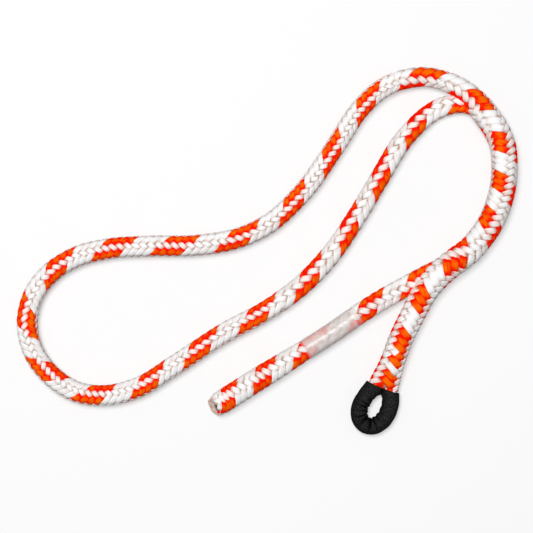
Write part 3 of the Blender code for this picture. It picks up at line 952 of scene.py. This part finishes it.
def crossing(lay, n, distance):
    """The strands of the eye's own tail that cross the body just above the throat."""
    return (lay == 1) & (n in CROSSING_STRANDS) & (distance < CROSSING_END)


throat = flattened(rope, throat_share, THROAT_WIDER, THROAT_LOWER, THROAT_DROP)
host = braid(
    "body_braid_strands", rope, [(THROAT_START, host_length, STRANDS)], rope_radius, rope_turns, rope_roll,
    [orange, white], [throat, tucked], crossing,
)
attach(host, "sling")
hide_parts("body_braid", "splice_exit", "splice_bury", "splice_entry")

# With no crown map, the white strand material paints this real buried rope mostly in its gap shade, which
# stands for the shade inside the body
buried = tube(
    "buried_rope", rope, BURIED_START, host_length - BURIED_STOP, lambda s: rope_radius(s) - BURIED_SMALLER,
    white,
)
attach(buried, "sling")
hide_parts("buried_running_rope", "eye_buried_tail")


# Loop

def slip_in_share(distance):
    """How far the loop's rope is pressed low on its way in under the body's edge."""
    return ramp_up((distance - loop_end + SLIP_IN_START) / SLIP_IN_LENGTH)


slip_in = flattened(rope, slip_in_share, 0.0, SLIP_LOWER, SLIP_IN_DROP)
loop_weaves = [
    (host_length, FINE_WEAVE[0], STRANDS),
    (FINE_WEAVE[0], FINE_WEAVE[1], FINE_STRANDS),
    (FINE_WEAVE[1], loop_end + BURIED_RUN, STRANDS),
]
loop = braid(
    "loop_strands", rope, loop_weaves, rope_radius, rope_turns, rope_roll, [orange, white], [slip_in],
)
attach(loop, "sling")
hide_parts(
    "loop_standing_leg", "loop_top_reach", "loop_far_bend", "loop_return_reach", "loop_running_leg",
)
loop_path = rope.at(np.linspace(host_length, loop_end + BURIED_RUN, LOOP_PATH_POINTS))[0] * MM


# Tail

def slip_out_share(distance):
    """How far the tail is pressed low on its way out from under the body's edge."""
    return ramp_up((SLIP_OUT_END - distance) / SLIP_OUT_LENGTH)


def cut_end(distance, turn, centre, outward):
    """The cut end of the tail is slanted, with its shortest strands on the side that it faces."""
    part = ramp_up((distance - tail.length + CUT_LENGTH) / CUT_LENGTH)
    way = tail.at(distance)[1]
    return centre - way * (part * (CUT_BACK + CUT_SLANT * np.cos(turn - CUT_FACES)))[:, None], outward


slip_out = flattened(tail, slip_out_share, 0.0, SLIP_LOWER, SLIP_OUT_DROP)
running = braid(
    "tail_strands", tail, [(0.0, tail.length, STRANDS)], tail_radius, tail_turns, tail_roll, [orange, white],
    [slip_out, cut_end],
)
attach(running, "tail")
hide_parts("running_tail")
tail_path = tail.at(np.linspace(0.0, tail.length, TAIL_PATH_POINTS))[0] * MM
tuple(tail.at(np.array([STUB_DEPTH]))[0][0] * MM)


def rim_ring(ahead, radius):
    """One ring of the melted end, that far ahead of the tail's end."""
    turn = all_round(RIM_SIDES)
    aside = HOLE_SHIFT * ramp_up((RIM_FACE - radius) / HOLE_SHIFT_FADE) * (ahead > PLUG_BACK)
    rise = radius * np.cos(turn) + aside * math.cos(HOLE_SIDE)
    across = radius * np.sin(turn) + aside * math.sin(HOLE_SIDE)
    slant = RIM_SLANT * (rise * math.cos(CUT_FACES) + across * math.sin(CUT_FACES)) / RIM_FACE
    lumps = sum(height * np.sin(count * turn + drift * ahead) for count, drift, height in RIM_LUMPS)
    share = ramp_up((ahead + RIM_STRAIGHT) / RIM_FOLLOW)
    forward = ahead + share * (RIM_REACH - CUT_BACK - slant + lumps)
    place, _, left, up = tail.at(tail.length + forward)
    ring = place + rise[:, None] * up + across[:, None] * left
    ring[:, 2] = rested(ring[:, 2])
    return ring


def melted_rim():
    """The plug that the melted strand ends form inside the cut, with a small hole off its middle."""
    points = np.vstack([rim_ring(ahead, radius) for ahead, radius in RIM])
    # The depth in the map sets the painted shade, deeper still inside the hole
    depth = RIM[:, 0] - HOLE_SHADE * (RIM[:, 1] < HOLE_RADIUS)
    strand_map = np.column_stack([
        np.repeat(depth, RIM_SIDES), np.tile(all_round(RIM_SIDES) * RIM_MAP_RADIUS, len(RIM)),
    ])
    return mesh_object("tail_end_rim", points, capped_faces(len(RIM), RIM_SIDES), [melted], None, strand_map)


rim = melted_rim()
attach(rim, "tail")


# Eye

eye_strands = braid(
    "eye_rope_strands", eye, [(-EYE_LEAD_IN, eye.length + EYE_LEAD_OUT, STRANDS)],
    lambda s: np.full(len(s), EYE_ROPE_RADIUS), lambda s: s / EYE_LAY_LENGTH, lambda s: 0.0 * s,
    [orange, white],
)
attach(eye_strands, "sling")
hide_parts("eye_rope")


def inner_side(side, hold):
    """From 0 on the outer side of the bend to 1 on the inner; a larger hold keeps closer to it."""
    return (0.5 + 0.5 * side) ** hold


def bulged(away, bulge):
    """A rounded bulge, by the distance away from an end."""
    place, length, height = bulge
    return height * np.exp(-((away - place) / length) ** 2)


def pleat_depth(distance, turn, side):
    """How deep the gathers are: narrow folds on the inner side of the bend, each with its own lean."""
    rng = np.random.default_rng(4)
    depth = np.zeros(distance.shape)
    for centre, strength, hold in SLEEVE_PLEATS:
        lean = rng.uniform(-PLEAT_LEAN, PLEAT_LEAN)
        width = rng.uniform(*PLEAT_WIDTHS)
        across = distance - centre - lean * np.cos(turn)[None, :]
        depth += strength * inner_side(side, hold) * np.exp(-(np.abs(across) / width) ** PLEAT_SHARPNESS)
    depth = PLEAT_LIMIT * np.tanh(depth / PLEAT_LIMIT)
    return depth * (1 - INSIDE_SHALLOWER * np.maximum(side, 0.0) ** INSIDE_HOLD)


def sleeve():
    """The gathered fabric tube over the eye: a thin wall with pleats on the inner side of the bend."""
    count = int(eye.length / SLEEVE_STEP)
    turn = all_round(SLEEVE_SIDES)
    side = np.sin(turn)[None, :]
    even = np.linspace(0.0, eye.length, count)[:, None]
    left_over = eye.length - even
    distance = (
        even - FIRST_EDGE_SLANT * side * np.exp(-even / EDGE_FADE)
        + (LAST_EDGE_SHIFT + LAST_EDGE_SLANT * side) * np.exp(-left_over / EDGE_FADE)
    )
    place, _, left, up = (v.reshape(count, SLEEVE_SIDES, 3) for v in eye.at(distance.ravel()))

    depth = pleat_depth(distance, turn, side)
    bulge = bulged(even, FIRST_BULGE) + bulged(left_over, LAST_BULGE)
    ripple = RIPPLE_HEIGHT * np.sin(distance * RIPPLE_PITCH + RIPPLE_LEAN * np.cos(turn))
    ripple = ripple * (RIPPLE_OUTSIDE + inner_side(side, RIPPLE_HOLD))
    radius = SLEEVE_RADIUS - depth + bulge * np.maximum(side, 0.0) ** 2 + ripple
    outward = outward_from(turn, left, up)
    outer = place + outward * radius[:, :, None]
    inner = place + outward * (radius - SLEEVE_WALL)[:, :, None]
    outer[:, :, 2] = np.maximum(outer[:, :, 2], SLEEVE_LIFT)
    inner[:, :, 2] = np.maximum(inner[:, :, 2], SLEEVE_LIFT + SLEEVE_WALL)
    points, faces = closed_wall(outer, inner)

    # Painted shade for the crown map: darker down in the pleats and towards the underside
    upward = raised(SLEEVE_UNDER_LEVEL, np.clip(outward[:, :, 2], 0.0, 1.0) ** SLEEVE_UNDER_FADE)
    height = both_skins(np.clip(1.0 - depth / PLEAT_SHADE, 0.0, 1.0) * upward)
    round_it = np.tile(np.abs(turn - np.pi) * SLEEVE_RADIUS, 2 * count)
    strand_map = np.column_stack([both_skins(distance), round_it])
    crown_map = np.column_stack([height, 0 * height])
    return mesh_object("eye_sleeve_fabric", points, faces, [fabric], None, strand_map, crown_map)


cover = sleeve()
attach(cover, "sling")
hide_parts("eye_sleeve")


# Shrink sleeve

def shrink_film():
    """The sleeve shrunk on to the tail: a closed thin wall, flared and clear at its ends."""
    distance = np.linspace(FILM_START, FILM_END, FILM_RINGS)
    turn = all_round(FILM_SIDES)
    place, _, left, up = (v[:, None, :] for v in tail.at(distance))
    to_edge = np.minimum(distance - FILM_START, FILM_END - distance)
    flare = FLARE_HEIGHT * np.clip(1 - to_edge / FLARE_LENGTH, 0.0, 1.0)
    ripple = np.sin(distance * FILM_RIPPLE_PITCH)[:, None] * np.cos(FILM_RIPPLE_SIDES * turn)[None, :]
    radius = FILM_RADIUS + flare[:, None] + FILM_RIPPLE_HEIGHT * ripple
    outward = outward_from(turn, left, up)
    outer = place + outward * radius[:, :, None]
    inner = place + outward * (radius - FILM_WALL)[:, :, None]
    points, faces = closed_wall(outer, inner)
    reach = both_skins(np.repeat(distance[:, None], FILM_SIDES, axis=1))
    strand_map = np.column_stack([reach, np.tile(turn * FILM_RADIUS, 2 * FILM_RINGS)])
    middle = reach[faces].mean(axis=1)
    is_clear = (middle < FILM_MILKY[0]) | (middle > FILM_MILKY[1])
    materials = [milky_film, clear_film]
    return mesh_object("tail_shrink_film", points, faces, materials, is_clear.astype(int), strand_map)


wrap = shrink_film()
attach(wrap, "tail")
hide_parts("tail_shrink_sleeve")
